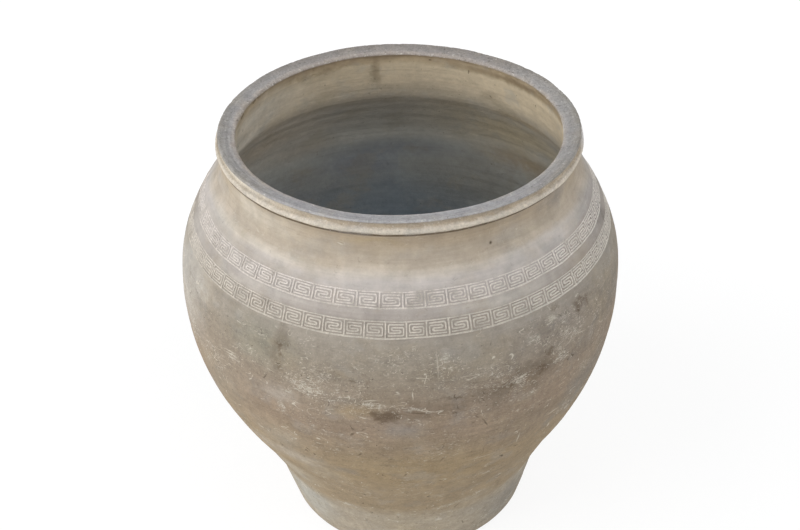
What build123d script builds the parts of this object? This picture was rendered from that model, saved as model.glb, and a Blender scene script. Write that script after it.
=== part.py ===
from build123d import *
import math
import os

os.makedirs("parts", exist_ok=True)

# A ring-built storage jar: millimetres, +Z up, origin at the centre of the underside.
# Heights of the rings, stacked from the ground up along the outside of the wall.
foot_height = 85.0
lower_wall_height = 130.0
lower_belly_height = 147.0
upper_belly_height = 79.0
shoulder_height = 83.5
neck_height = 43.5

# Outside radii at the belly and the top of the foot, and what the wall draws in from each.
belly_radius = 290.5
lower_belly_draw = 36.0
upper_belly_draw = 8.7
foot_top_radius = 191.0
foot_draw = 23.5

# Slopes of the outside of the wall, in degrees from upright.
waist_flare = 19.0
shoulder_slope = 37.0

# Neck: how far its top stands out from the mouth, and how far it flares to its base.
neck_top_stand = 19.0
neck_flare = 11.0

# Rim: mouth, flat top falling to the inside, hollow fascia and the roll below it.
mouth_radius = 206.0
rim_width = 21.5
rim_fall = 4.5
rim_edge = 2.8
rim_round = 2.0
fascia_height = 5.9
fascia_hollow = 1.9
bead_radius = 4.6
bead_stand = 2.6

# Two bands pressed into the shoulder, on either side of a plain strip below the neck.
strip_drop = 49.6
strip_width = 13.4
band_width = 21.0
band_depth = 0.8

# Thickness of the clay.
slab_thickness = 18.0
slab_edge = 7.0
slab_edge_round = 5.0
foot_wall = 18.0
belly_wall = 15.0
shoulder_wall = 19.5
base_cove = 14.0

# Joints slant down through the wall to the inside and are filled with a film of slip.
ring_lap = 10.0
neck_lap = 8.0
rim_lap = 5.0
slip_film = 0.3

# Levels of the joints above the ground.
foot_top = foot_height
lower_wall_top = foot_top + lower_wall_height
belly_level = lower_wall_top + lower_belly_height
upper_belly_top = belly_level + upper_belly_height
shoulder_top = upper_belly_top + shoulder_height
neck_top = shoulder_top + neck_height
bead_bottom = neck_top + bead_stand
bead_level = bead_bottom + bead_radius
bead_top = bead_level + bead_radius
fascia_top = bead_top + fascia_height
rim_top = fascia_top + rim_edge

# Radii that follow from the belly, the foot and the mouth.
lower_wall_top_radius = belly_radius - lower_belly_draw
upper_belly_top_radius = belly_radius - upper_belly_draw
foot_bottom_radius = foot_top_radius - foot_draw
neck_top_radius = mouth_radius + neck_top_stand
neck_base_radius = neck_top_radius + neck_flare
rim_edge_radius = mouth_radius + rim_width

# Zones of the section run from the axis to well outside the wall.
clear_radius = 2 * (belly_radius + rim_edge_radius)
joint_reach = 8.0


def leaning(angle):
    """Upward direction that leans outward from upright by an angle in degrees."""
    turn = math.radians(angle)
    return Vector(math.sin(turn), math.cos(turn))


def upward_at(curve, point):
    """Upward direction of an outline where it passes through a point."""
    return curve.tangent_at(curve.param_at_point(point))


def inward_of(upward):
    """Direction through the wall, from the outside to the inside."""
    return Vector(-upward.Y, upward.X)


# Outside of the wall, from the ground to the top of the neck.
foot_bottom = Vector(foot_bottom_radius, 0)
foot_joint = Vector(foot_top_radius, foot_top)
lower_wall_joint = Vector(lower_wall_top_radius, lower_wall_top)
belly_joint = Vector(belly_radius, belly_level)
upper_belly_joint = Vector(upper_belly_top_radius, upper_belly_top)
neck_joint = Vector(neck_base_radius, shoulder_top)
rim_joint = Vector(neck_top_radius, neck_top)

foot_lean = (foot_joint - foot_bottom).normalized()
body_outside = Spline(
    foot_joint,
    lower_wall_joint,
    belly_joint,
    upper_belly_joint,
    neck_joint,
    tangents=(leaning(waist_flare), leaning(-shoulder_slope)),
)
neck_outside = Spline(
    neck_joint,
    rim_joint,
    tangents=(leaning(-shoulder_slope), leaning(0)),
)


def through_wall(point, upward, wall, lap):
    """Point on the inside of the wall, lower than the one outside by the joint's lap."""
    return point + inward_of(upward) * wall - upward * lap


# Inside of the wall, at each joint.
foot_joint_inside = through_wall(foot_joint, foot_lean, foot_wall, ring_lap)
lower_wall_inside = through_wall(
    lower_wall_joint, upward_at(body_outside, lower_wall_joint), belly_wall, ring_lap)
belly_inside = through_wall(
    belly_joint, upward_at(body_outside, belly_joint), belly_wall, ring_lap)
upper_belly_inside = through_wall(
    upper_belly_joint, upward_at(body_outside, upper_belly_joint), belly_wall, ring_lap)
neck_joint_inside = through_wall(
    neck_joint, leaning(-shoulder_slope), shoulder_wall, neck_lap)
mouth_corner = Vector(mouth_radius, rim_top - rim_fall)

body_inside = Spline(
    foot_joint_inside,
    lower_wall_inside,
    belly_inside,
    upper_belly_inside,
    neck_joint_inside,
    tangents=(foot_lean, leaning(-shoulder_slope)),
)

# The foot's inside runs down beside its outside and turns onto the slab in a cove.
foot_inside_fall = (foot_joint_inside.Y - slab_thickness) / foot_lean.Y
foot_inside_bottom = foot_joint_inside - foot_lean * foot_inside_fall
slab_top_radius = foot_inside_bottom.X - base_cove
neck_inside_lean = (mouth_corner - neck_joint_inside).normalized()


def jar_section():
    """Half section of the whole jar: radius across, height up."""
    slab_corner = foot_bottom - Vector(slab_edge_round, 0)
    slab_side = foot_bottom + foot_lean * slab_edge_round
    underside = Line((0, 0), slab_corner)
    slab_round = TangentArc(slab_corner, slab_side, tangent=(1, 0))
    foot_outside = Line(slab_side, foot_joint)
    under_bead = Line(rim_joint, (rim_edge_radius, bead_bottom))
    bead = ThreePointArc(
        (rim_edge_radius, bead_bottom),
        (rim_edge_radius + bead_radius, bead_level),
        (rim_edge_radius, bead_top),
    )
    fascia = ThreePointArc(
        (rim_edge_radius, bead_top),
        (rim_edge_radius - fascia_hollow, (bead_top + fascia_top) / 2),
        (rim_edge_radius, fascia_top),
    )
    rim_and_mouth = FilletPolyline(
        (rim_edge_radius, fascia_top),
        (rim_edge_radius, rim_top),
        mouth_corner,
        neck_joint_inside,
        radius=rim_round,
    )
    base_inside = FilletPolyline(
        foot_joint_inside,
        foot_inside_bottom,
        (0, slab_thickness),
        radius=base_cove,
    )
    axis = Line((0, slab_thickness), (0, 0))
    outline = [
        underside, slab_round, foot_outside, body_outside, neck_outside,
        under_bead, bead, fascia, rim_and_mouth, body_inside, base_inside, axis,
    ]
    return make_face([edge for line in outline for edge in line.edges()])


def pressed_band(first, last):
    """Shallow groove in the shoulder between two distances along its outside."""
    middle = (first + last) / 2
    stations = []
    for distance in (first, middle, last):
        place = body_outside.position_at(distance, PositionMode.LENGTH)
        upward = body_outside.tangent_at(distance, PositionMode.LENGTH)
        stations.append((place, inward_of(upward)))
    floor = [place + inward * band_depth for place, inward in stations]
    clear = [place - inward * band_width for place, inward in stations]
    sides = Polyline(floor[2], clear[2], clear[0], floor[0])
    groove = ThreePointArc(floor[0], floor[1], floor[2])
    return make_face(sides.edges() + groove.edges())


def pressed_bands():
    """Both bands, set off from the plain strip between them."""
    strip_at = body_outside.length - strip_drop
    near = strip_width / 2
    far = near + band_width
    return [pressed_band(strip_at - far, strip_at - near), pressed_band(strip_at + near, strip_at + far)]


def slanting_joint(outside, inside):
    """Ends of a joint line, carried past both faces of the wall."""
    across = (inside - outside).normalized() * joint_reach
    return outside - across, inside + across


def level_cut(level):
    """Ends of a flat cut that passes clear of the jar."""
    return Vector(clear_radius / 2, level), Vector(joint_reach, level)


def slab_joint():
    """Bevelled edge of the slab that the foot ring stands on."""
    outside = foot_bottom + foot_lean * (slab_edge / foot_lean.Y)
    return slanting_joint(outside, Vector(slab_top_radius, slab_thickness))


def zone(lower, upper):
    """Region of the section between two joints, less the film of slip above the lower one."""
    low_out, low_in = (end + Vector(0, slip_film) for end in lower)
    high_out, high_in = upper
    return make_face(Polyline(
        low_out, (clear_radius, low_out.Y), (clear_radius, high_out.Y), high_out,
        high_in, (0, high_in.Y), (0, low_in.Y), low_in, low_out,
    ))


def ring_names_and_joints():
    """Pieces from the ground up, each with the joint that closes it at the top."""
    rim_inside = rim_joint + inward_of(leaning(0)) * neck_top_stand - leaning(0) * rim_lap
    return [
        ("base_slab", slab_joint()),
        ("foot_ring", slanting_joint(foot_joint, foot_joint_inside)),
        ("lower_wall_ring", slanting_joint(lower_wall_joint, lower_wall_inside)),
        ("lower_belly_ring", slanting_joint(belly_joint, belly_inside)),
        ("upper_belly_ring", slanting_joint(upper_belly_joint, upper_belly_inside)),
        ("shoulder_ring", slanting_joint(neck_joint, neck_joint_inside)),
        ("neck_collar", slanting_joint(rim_joint, rim_inside)),
        ("rim_coil", level_cut(rim_top + joint_reach)),
    ]


def build_pieces():
    """Cuts the jar's section at its joints and turns each piece about the axis."""
    section = jar_section()
    for band in pressed_bands():
        section = section - band
    lower = level_cut(-joint_reach)
    pieces = {}
    for name, upper in ring_names_and_joints():
        ring_section = section & zone(lower, upper)
        pieces[name] = revolve(Plane.XZ * ring_section, axis=Axis.Z)
        lower = upper
    return pieces


for name, piece in build_pieces().items():
    export_step(piece, f"parts/{name}.step")
    print(name, len(piece.solids()), round(piece.volume), piece.bounding_box())
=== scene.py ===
import itertools
import math

import bmesh
import bpy
import numpy as np
from mathutils import Matrix, Vector


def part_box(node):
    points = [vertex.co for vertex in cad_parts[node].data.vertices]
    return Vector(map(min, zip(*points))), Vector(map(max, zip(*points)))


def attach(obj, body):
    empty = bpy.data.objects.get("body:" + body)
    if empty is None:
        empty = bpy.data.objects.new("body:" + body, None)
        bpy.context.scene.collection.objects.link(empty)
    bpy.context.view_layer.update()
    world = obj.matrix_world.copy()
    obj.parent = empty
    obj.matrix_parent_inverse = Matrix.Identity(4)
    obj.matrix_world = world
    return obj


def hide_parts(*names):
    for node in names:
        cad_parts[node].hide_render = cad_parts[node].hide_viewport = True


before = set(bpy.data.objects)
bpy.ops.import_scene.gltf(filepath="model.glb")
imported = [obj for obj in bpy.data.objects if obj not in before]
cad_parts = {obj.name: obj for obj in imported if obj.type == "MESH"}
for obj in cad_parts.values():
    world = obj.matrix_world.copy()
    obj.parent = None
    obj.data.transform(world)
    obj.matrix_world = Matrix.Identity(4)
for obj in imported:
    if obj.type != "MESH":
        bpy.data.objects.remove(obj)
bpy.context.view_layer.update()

# The jar stands on the ground with its photographed side towards -Y; sizes are metres.
# Azimuth runs from that front, positive towards +X, and height runs up from the ground.

# How finely rings and curves are made, and how near points count as one or as lying on the axis.
RING_SECTORS = 16
SECTOR_STEPS = 40
ROW_SPACING = 0.0026
INSIDE_ROW_SPACING = 0.004
RIM_ROW_SPACING = 0.0022
CURVE_STEPS = 48
MERGE_REACH = 1e-5
AXIS_REACH = 0.001

# Outside of the wall, between the joints that the frame gives.
foot_bottom_radius = 0.1690
waist = (0.2208, 0.1510)
lower_belly_swell = (0.2813, 0.2890)
strip_middle = (0.2625, 0.4845)
neck_waist = (0.2256, 0.5560)
neck_top_radius = 0.2280
neck_top_lean = 26.0
waist_lean = 19.0
shoulder_lean = -37.0
wall_fullness = 0.0004

# The jar sways to one side towards its foot, and its rim sits a little off the middle.
foot_sway = 0.0063
sway_top = 0.289
sway_curve = 1.1
rim_sway = 0.0017
rim_sway_levels = (0.556, 0.574)
rim_rise = 0.0024
rim_rise_azimuth = -156.0
rim_rise_spread = 42.0

# Base slab and the well inside the foot.
slab_edge_level = 0.0070
slab_bevel = 0.0050
slab_top_radius = 0.1430
base_cove = 0.0140

# Inside of the wall: radius where the cove over the slab ends, and at the joints from the foot up.
cove_radius = 0.1575
inside_joint_radii = [0.1711, 0.2367, 0.2752, 0.2702, 0.2252]

# Rim: a roll under a hollow face, with a top that falls to the mouth.
rim_edge_radius = 0.2275
rim_top_radius = 0.2286
bead_radius = 0.0040
bead_stand = 0.0026
bead_level = 0.5748
bead_tuck = 0.0003
bead_foot = 0.0016
fascia_hollow = 0.0016
fascia_roundness = 0.8
fascia_top = 0.5858
rim_round = 0.0026
lip_round = 0.0034
mouth_radius = 0.2060
mouth_fall = 0.0040
lip_drop = 0.0015

# The clay of the inside reaches onto the lip, out to a width and up to a depth below its top.
lip_paint_width = 0.006
lip_paint_depth = 0.0030

# Faces of a ring that look down more steeply than this belong to the outside.
UNDERSIDE_NORMAL = -0.97

# Arcs of the sections: first and last angle in degrees from outward, and points.
COVE_ARC = (15, 90, 6)
BEVEL_ARC = (-70, 0, 5)
BEAD_ARC = (-66, 84, 16)
EDGE_ARC = (8, 86, 8)
LIP_ARC = (98, 178, 7)

# Straight runs of the sections: first and last share of the run, and points.
FASCIA_RUN = (0.10, 1.0, 9)
RIM_TOP_RUN = (0.05, 0.95, 21)
UNDERSIDE_POINTS = 24
SLAB_TOP_POINTS = 22

# Two bands pressed into the shoulder: how deep, and how soft their edges are.
band_depth = 0.0009
band_edge = 0.0014

# Unevenness of the hand-built clay: how far each kind goes, waves across and up per metre, and draw.
WOBBLE = (0.0008, 3.2, 3.0, 1)
HAND_DENTS = (0.0005, 17, 24, 2)
TURNING_MARKS = (0.00018, 2.2, 180, 3)
SURFACE_GRAIN = (0.00014, 120, 190, 4)
INSIDE_RIDGES = (0.0006, 1.6, 95, 5)
INSIDE_DENTS = (0.0005, 14, 30, 6)
STAMP_ACROSS = (0.0005, 55, 90, 16)
STAMP_UP = (0.0005, 40, 60, 17)

# On the rim, waves across count per radius, and those of its lines run outward instead of up.
RIM_WAVES = (0.0006, 5, 60, 7)
RIM_RISES = (0.0006, 3, 30, 10)
RIM_LINES = (0.00042, 2.0, 330, 11)
BEAD_NICKS = (0.00035, 60, 220, 15)

# Patches, specks and chips are written the same way, but as shares.
WALL_PATCHES = (0.6, 11, 11, 14)
FRET_PATCHES = (0.34, 24, 40, 12)
FRET_SPECKS = (0.34, 85, 110, 13)
RIM_CHIPS = (1.0, 26, 40, 8)
RIM_NIBBLES = (1.0, 75, 90, 9)

# Ridge and crease at the foot of the neck: height or depth, level from the neck's base, and half height.
neck_ridge, neck_ridge_level, neck_ridge_half = 0.0011, -0.004, 0.0052
neck_crease, neck_crease_level, neck_crease_half = 0.0006, 0.0080, 0.0040

# Traces of the joints: depth and half height. Traces and ridge are patchy about this share.
joint_trace, joint_trace_half = 0.0005, 0.0022
patch_middle = 0.6

# Chipped places of the rim: depths below its top, and radii, between which each begins and is full.
edge_depths, edge_radii = (0.0042, 0.0008), (0.2225, 0.2262)
lip_depths, lip_radii = (0.012, 0.006), (0.2105, 0.2070)
line_depths = (0.0075, 0.0035)

# Depth of the chips, noise values at which chips and nibbles begin, and their shares at edge and lip.
chip_depth = 0.0013
chip_start, nibble_start = 0.22, 0.15
edge_shares, lip_shares = (1.6, 0.8), (0.9, 0.5)

# Level at which the chips that lower the edge are drawn.
edge_chip_level = 0.025

# The rim loses this share of the neck's unevenness.
neck_loss = 0.5

# Heights between which the unevenness grows from the flat underside.
footing = (0.002, 0.030)

# Half of the height over which the slope of the wall is taken.
slope_reach = 0.001


def lean_direction(degrees):
    """Upward direction in the section that leans outward by an angle from upright."""
    return np.array([math.sin(math.radians(degrees)), math.cos(math.radians(degrees))])


def soft_line(knots, first_lean, last_lean):
    """Smooth curve of radius and height through a few knots, with a lean at each end."""
    knots = np.array(knots)
    chords = np.linalg.norm(np.diff(knots, axis=0), axis=1)
    runs = np.diff(knots, axis=0) / chords[:, None]
    slopes = [lean_direction(first_lean)]
    for before, after, run, next_run in zip(chords, chords[1:], runs, runs[1:]):
        slopes.append((run * after + next_run * before) / (before + after))
    slopes.append(lean_direction(last_lean))
    share = np.linspace(0.0, 1.0, CURVE_STEPS, endpoint=False)[:, None]
    rise = share * share * (3 - 2 * share)
    leave = share * (1 - share) ** 2
    arrive = share * share * (share - 1)
    line = []
    for index, chord in enumerate(chords):
        span = knots[index] * (1 - rise) + knots[index + 1] * rise
        line.append(span + (slopes[index] * leave + slopes[index + 1] * arrive) * chord)
    line.append(knots[-1:])
    return np.concatenate(line)


def corner(node, top):
    """Radius and height of a node's lowest or highest corner."""
    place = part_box(node)[1 if top else 0]
    return abs(place.x), place.z


# Joint levels outside and inside the wall, from the frame.
RINGS = [
    "foot_ring", "lower_wall_ring", "lower_belly_ring", "upper_belly_ring", "shoulder_ring", "neck_collar",
]
joint_outside = {name: corner(name, True)[1] for name in RINGS}
joint_inside = {}
for ring, ring_above in zip(RINGS, RINGS[1:] + ["rim_coil"]):
    joint_inside[ring] = corner(ring_above, False)[1]

foot_top_radius, foot_top = corner("foot_ring", True)
lower_wall_top = corner("lower_wall_ring", True)
belly = corner("lower_belly_ring", True)
upper_belly_top = (corner("shoulder_ring", True)[0], joint_outside["upper_belly_ring"])
neck_base = (corner("neck_collar", True)[0], joint_outside["shoulder_ring"])
neck_top = joint_outside["neck_collar"]
rim_top = corner("rim_coil", True)[1]
slab_top = corner("base_slab", True)[1]
lip_top = rim_top - mouth_fall

body_line = soft_line(
    [(foot_top_radius, foot_top), waist, lower_wall_top, lower_belly_swell, belly,
     upper_belly_top, strip_middle, neck_base],
    waist_lean, shoulder_lean)
neck_line = soft_line([neck_base, neck_waist, (neck_top_radius, neck_top)], shoulder_lean, neck_top_lean)
outside_line = np.concatenate([[(foot_bottom_radius, 0.0)], body_line[:-1], neck_line])

# Inside of the wall, from the cove over the slab to the mouth.
foot_lean = math.degrees(math.atan2(foot_top_radius - foot_bottom_radius, foot_top))
inside_knots = [(cove_radius, slab_top + base_cove)]
for radius, ring in zip(inside_joint_radii, RINGS):
    inside_knots.append((radius, joint_inside[ring]))
inside_line = soft_line(inside_knots, foot_lean, shoulder_lean)
inside_line = np.concatenate([inside_line, [(mouth_radius, lip_top)]])

# The crease at the foot of the neck is rounded off by hand: an even rubbing along the inside.
CREASE_STEPS = 36
RUBBED_ROWS = 800
rubbed_rows = np.linspace(inside_line[0, 1], lip_top, RUBBED_ROWS)
rubbing = np.hanning(2 * CREASE_STEPS + 1)
rubbed_radius = np.interp(rubbed_rows, inside_line[:, 1], inside_line[:, 0])
rubbed_radius = np.pad(rubbed_radius, CREASE_STEPS, mode="reflect", reflect_type="odd")
rubbed_radius = np.convolve(rubbed_radius, rubbing / rubbing.sum(), mode="valid")
inside_line = np.column_stack([rubbed_radius, rubbed_rows])


def outside_radius(height):
    """Radius of the smooth outside of the wall at a height."""
    return np.interp(height, outside_line[:, 1], outside_line[:, 0])


def inside_radius(height):
    """Radius of the smooth inside of the wall at a height."""
    return np.interp(height, inside_line[:, 1], inside_line[:, 0])


def middle_radius(height):
    """Radius of the middle of the wall at a height."""
    return (outside_radius(np.minimum(height, neck_top)) + inside_radius(height)) / 2


NOISE_CELLS = 256
NOISE_DRAW_SHIFT = 11.3
NOISE_REACH = 1.5
noise_seed = np.random.default_rng(27)
NOISE_ORDER = noise_seed.permutation(NOISE_CELLS)
NOISE_SLOPES = noise_seed.normal(size=(NOISE_CELLS, 3))
NOISE_SLOPES /= np.linalg.norm(NOISE_SLOPES, axis=1)[:, None]


def clay_noise(x, y, z, draw):
    """Smooth random values, mostly from -1 to 1; each draw gives another pattern."""
    spot = np.stack([x, y, z], axis=-1) + draw * NOISE_DRAW_SHIFT
    cell = np.floor(spot).astype(int)
    part = spot - cell
    fade = part ** 3 * (part * (part * 6 - 15) + 10)
    total = np.zeros(len(part))
    for step in itertools.product((0, 1), repeat=3):
        near = cell + step
        pick = 0
        for axis in range(3):
            pick = NOISE_ORDER[(pick + near[:, axis]) % NOISE_CELLS]
        slope = np.einsum("ij,ij->i", NOISE_SLOPES[pick], part - step)
        total += slope * np.prod(np.where(step, fade, 1 - fade), axis=1)
    return total * NOISE_REACH


def soft_step(value, low, high):
    """Rises smoothly from 0 at low to 1 at high."""
    share = np.clip((value - low) / (high - low), 0.0, 1.0)
    return share * share * (3 - 2 * share)


def soft_ridge(value, middle, half_width):
    """Rounded ridge of height 1 about a middle."""
    return np.exp(-((value - middle) / half_width) ** 2)


# Places where the fret is rubbed away: share lost, azimuth and spread in degrees.
RUBBED_ENDS = [(0.75, -82.0, 17.0), (0.65, 86.0, 15.0)]
RUBBED_RIGHT = (0.42, 33.0, 9.0)

# Fret bands: border heights, cells round the jar, first and last cell stamped alike, dividers' turns, wear.
UPPER_BAND = {"low": 0.4897, "high": 0.5054, "cells": 60, "first_alike": 1, "last_alike": 1,
              "turns": [(-7, -41.4), (0, 0.5), (7, 40.6)], "rubbed": [RUBBED_RIGHT, *RUBBED_ENDS]}
LOWER_BAND = {"low": 0.4586, "high": 0.4762, "cells": 66, "first_alike": -2, "last_alike": 1,
              "turns": [(-8, -46.6), (-2, -14.0), (-1, -9.1), (0, -3.9), (1, 1.2), (2, 6.1), (9, 44.7)],
              "rubbed": RUBBED_ENDS}


def band_mask(height):
    """1 within the two pressed bands, 0 elsewhere."""
    total = np.zeros_like(height)
    for band in (UPPER_BAND, LOWER_BAND):
        rise = soft_step(height, band["low"] - band_edge, band["low"])
        total += rise * (1 - soft_step(height, band["high"], band["high"] + band_edge))
    return total


# The scar at the widest joint: ends as azimuth and height, half height, depth, and shares where it fades.
scar_start = (-8.5, 0.3715)
scar_end = (14.0, 0.3535)
scar_half_height = 0.0030
scar_depth = 0.0012
scar_fade_in = (-0.05, 0.12)
scar_fade_out = (0.85, 1.05)


def scar_relief(azimuth, height):
    """Flaked groove along the joint at the belly."""
    degrees = np.degrees(azimuth)
    along = (degrees - scar_start[0]) / (scar_end[0] - scar_start[0])
    level = scar_start[1] + (scar_end[1] - scar_start[1]) * along
    ends = soft_step(along, *scar_fade_in) * (1 - soft_step(along, *scar_fade_out))
    return -scar_depth * ends * soft_ridge(height, level, scar_half_height)


def ring_place(azimuth, radius):
    """Flat coordinates of points at a radius."""
    return radius * np.sin(azimuth), -radius * np.cos(azimuth)


def wall_noise(azimuth, radius, height, kind):
    """One kind of unevenness at points of the wall."""
    reach, across, up, draw = kind
    x, y = ring_place(azimuth, radius)
    return reach * clay_noise(x * across, y * across, height * up, draw)


def rim_noise(azimuth, height, kind):
    """One kind of unevenness at points of the rim."""
    return wall_noise(azimuth, 1.0, height, kind)


def uneven(azimuth, radius, height, kinds):
    """Sum of several kinds of unevenness at points of the wall."""
    return sum(wall_noise(azimuth, radius, height, kind) for kind in kinds)


def outside_relief(azimuth, height):
    """How far the outside of the wall stands off its smooth line."""
    radius = outside_radius(height)
    kinds = (WOBBLE, HAND_DENTS, TURNING_MARKS, SURFACE_GRAIN)
    relief = wall_fullness + uneven(azimuth, radius, height, kinds)
    patchy = patch_middle + wall_noise(azimuth, radius, height, WALL_PATCHES)
    relief += neck_ridge * patchy * soft_ridge(height, neck_base[1] + neck_ridge_level, neck_ridge_half)
    relief -= neck_crease * soft_ridge(height, neck_base[1] + neck_crease_level, neck_crease_half)
    for level in (foot_top, belly[1]):
        relief -= joint_trace * np.clip(patchy, 0, 1) * soft_ridge(height, level, joint_trace_half)
    relief -= band_depth * band_mask(height)
    return relief + scar_relief(azimuth, height)


def inside_relief(azimuth, height):
    """How far the inside of the wall stands off its smooth line."""
    return uneven(azimuth, inside_radius(height), height, (WOBBLE, INSIDE_RIDGES, INSIDE_DENTS))


def below_rim(height, depths):
    """Rises from 0 to 1 between two depths below the rim's top."""
    return soft_step(height, rim_top - depths[0], rim_top - depths[1])


def on_rim(height):
    """0 on the neck and 1 on the rim."""
    return soft_step(height, neck_top, neck_top + bead_stand)


def rim_edges(height, radius):
    """Nearness to the outer edge of the rim's top, and to the lip of the mouth."""
    edge = below_rim(height, edge_depths) * soft_step(radius, *edge_radii)
    lip = below_rim(height, lip_depths) * soft_step(radius, *lip_radii)
    return edge, lip


def broken_off(azimuth, height, kind, start):
    """What one kind of unevenness on the rim has above a start."""
    return np.clip(rim_noise(azimuth, height, kind) - start, 0, 1)


def rim_relief(azimuth, height, radius):
    """Waves and chips of the rim, growing from the neck's own unevenness."""
    share = on_rim(height)
    relief = outside_relief(azimuth, np.full_like(azimuth, neck_top)) * (1 - neck_loss * share)
    relief += share * rim_noise(azimuth, height, RIM_WAVES)
    relief += rim_noise(azimuth, height, BEAD_NICKS) * soft_ridge(height, bead_level, bead_radius)
    edge, lip = rim_edges(height, radius)
    chips = broken_off(azimuth, height, RIM_CHIPS, chip_start)
    nibbles = broken_off(azimuth, height, RIM_NIBBLES, nibble_start)
    relief -= chip_depth * edge * (edge_shares[0] * chips + edge_shares[1] * nibbles)
    return relief + chip_depth * lip * (lip_shares[0] * chips + lip_shares[1] * nibbles)


def rim_level(azimuth, height, radius):
    """Rise and fall of the rim, its turned lines and the chips that lower its outer edge."""
    share = on_rim(height)
    level = share * rim_noise(azimuth, height, RIM_RISES)
    away = (np.degrees(azimuth) - rim_rise_azimuth + 180) % 360 - 180
    level += share * rim_rise * soft_ridge(away, 0.0, rim_rise_spread)
    level += below_rim(height, line_depths) * rim_noise(azimuth, radius, RIM_LINES)
    chips = broken_off(azimuth, np.full_like(height, edge_chip_level), RIM_CHIPS, chip_start)
    edge, _ = rim_edges(height, radius)
    return level - edge * chip_depth * chips


def sway(height):
    """Sideways shift of the jar's axis near its foot and at its rim."""
    low = foot_sway * np.clip((sway_top - height) / sway_top, 0, 1) ** sway_curve
    return low + rim_sway * soft_step(height, *rim_sway_levels)


def place_outside(azimuth, height, lift):
    """Points on the weathered outside of the wall, raised by a lift along the wall's normal."""
    rise = outside_radius(height + slope_reach) - outside_radius(height - slope_reach)
    slope = rise / (2 * slope_reach)
    outward = 1 / np.sqrt(1 + slope ** 2)
    radius = outside_radius(height) + outside_relief(azimuth, height) + lift * outward
    level = height - lift * slope * outward
    x, y = ring_place(azimuth, radius)
    return np.stack([x + sway(level), y, level], axis=-1)


def mesh_values(elements, name):
    """Three numbers of each element of a mesh, as an array."""
    values = np.zeros(len(elements) * 3)
    elements.foreach_get(name, values)
    return values.reshape(-1, 3)


def weather_ring(mesh, rim):
    """Moves a turned ring's vertices from its smooth line to the weathered surface."""
    place = mesh_values(mesh.vertices, "co")
    azimuth = np.arctan2(place[:, 0], -place[:, 1])
    radius = np.hypot(place[:, 0], place[:, 1])
    height = place[:, 2].copy()
    inner = radius < middle_radius(height)
    offset = np.zeros(len(radius))
    if rim:
        inner &= height < lip_top
        offset = rim_relief(azimuth, height, radius)
        lip_share = soft_step(height[inner], joint_inside["neck_collar"], lip_top)
        smooth = inside_relief(azimuth[inner], height[inner])
        offset[inner] = smooth + (offset[inner] - smooth) * lip_share
        place[:, 2] += rim_level(azimuth, height, radius)
    else:
        outer = ~inner
        offset[outer] = outside_relief(azimuth[outer], height[outer])
        offset[inner] = inside_relief(azimuth[inner], height[inner])
    offset *= soft_step(height, *footing)
    weathered = np.where(radius < AXIS_REACH, 0.0, radius + offset)
    place[:, 0], place[:, 1] = ring_place(azimuth, weathered)
    place[:, 0] += sway(height)
    mesh.vertices.foreach_set("co", place.ravel())
    mesh.update()


def level_rows(low, high, spacing):
    """Evenly spaced heights from low to high, both included."""
    return np.linspace(low, high, max(2, int(round(abs(high - low) / spacing)) + 1))


def arc_points(centre, radius, first, last, count):
    """Points along an arc of the section, with angles in degrees from outward."""
    turns = np.radians(np.linspace(first, last, count))
    return [(centre[0] + radius * math.cos(turn), centre[1] + radius * math.sin(turn)) for turn in turns]


def outside_points(low, high):
    """Section points up the outside of the wall."""
    return [(outside_radius(level), level) for level in level_rows(low, high, ROW_SPACING)]


def inside_points(high, low, spacing=INSIDE_ROW_SPACING):
    """Section points down the inside of the wall."""
    return [(inside_radius(level), level) for level in level_rows(high, low, spacing)]


def wall_section(name, low_outside, low_inside):
    """Closed section of a wall ring between two slanting joints."""
    return outside_points(low_outside, joint_outside[name]) + inside_points(joint_inside[name], low_inside)


def foot_section():
    """The foot stands on the slab's bevelled edge, with a cove inside."""
    outside = outside_points(slab_edge_level, foot_top)
    inside = inside_points(joint_inside["foot_ring"], slab_top + base_cove)
    reach = inside[-1][0] - slab_top_radius
    cove = []
    for turn in np.radians(np.linspace(*COVE_ARC)):
        cove.append((slab_top_radius + reach * math.cos(turn), slab_top + base_cove * (1 - math.sin(turn))))
    return outside + inside + cove


def slab_section():
    """The base slab: flat underside, bevelled edge, and a slant that carries the foot."""
    edge_radius = float(outside_radius(slab_edge_level))
    underside_radius = foot_bottom_radius - slab_bevel
    underside = [(radius, 0.0) for radius in np.linspace(0.0, underside_radius, UNDERSIDE_POINTS)]
    bevel = arc_points((underside_radius, slab_bevel), slab_bevel, *BEVEL_ARC)
    top = [(radius, slab_top) for radius in np.linspace(slab_top_radius, 0.0, SLAB_TOP_POINTS)]
    return underside + bevel + [(edge_radius, slab_edge_level)] + top


def rim_section():
    """Roll, hollow face, turned top and lip, closed by the joint on the neck."""
    under = [(neck_top_radius, neck_top), (neck_top_radius + bead_tuck, neck_top + bead_foot)]
    bead = arc_points((rim_edge_radius + bead_tuck, bead_level), bead_radius, *BEAD_ARC)
    fascia_bottom = bead[-1][1]
    hollow = []
    for share in np.linspace(*FASCIA_RUN):
        depth = fascia_hollow * math.sin(math.pi * share) ** fascia_roundness
        edge_radius = rim_edge_radius + (rim_top_radius - rim_edge_radius) * share
        hollow.append((edge_radius - depth, fascia_bottom + (fascia_top - fascia_bottom) * share))
    edge = arc_points((rim_top_radius - rim_round, rim_top - rim_round), rim_round, *EDGE_ARC)
    lip = arc_points((mouth_radius + lip_round, lip_top - lip_round), lip_round, *LIP_ARC)
    (outer, high), (inner, low) = edge[-1], lip[0]
    top = []
    for share in np.linspace(*RIM_TOP_RUN):
        top.append((outer + (inner - outer) * share, high + (low - high) * share))
    inside = inside_points(lip[-1][1] - lip_drop, joint_inside["neck_collar"], RIM_ROW_SPACING)
    return under + bead + hollow + edge + top + lip + inside


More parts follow.
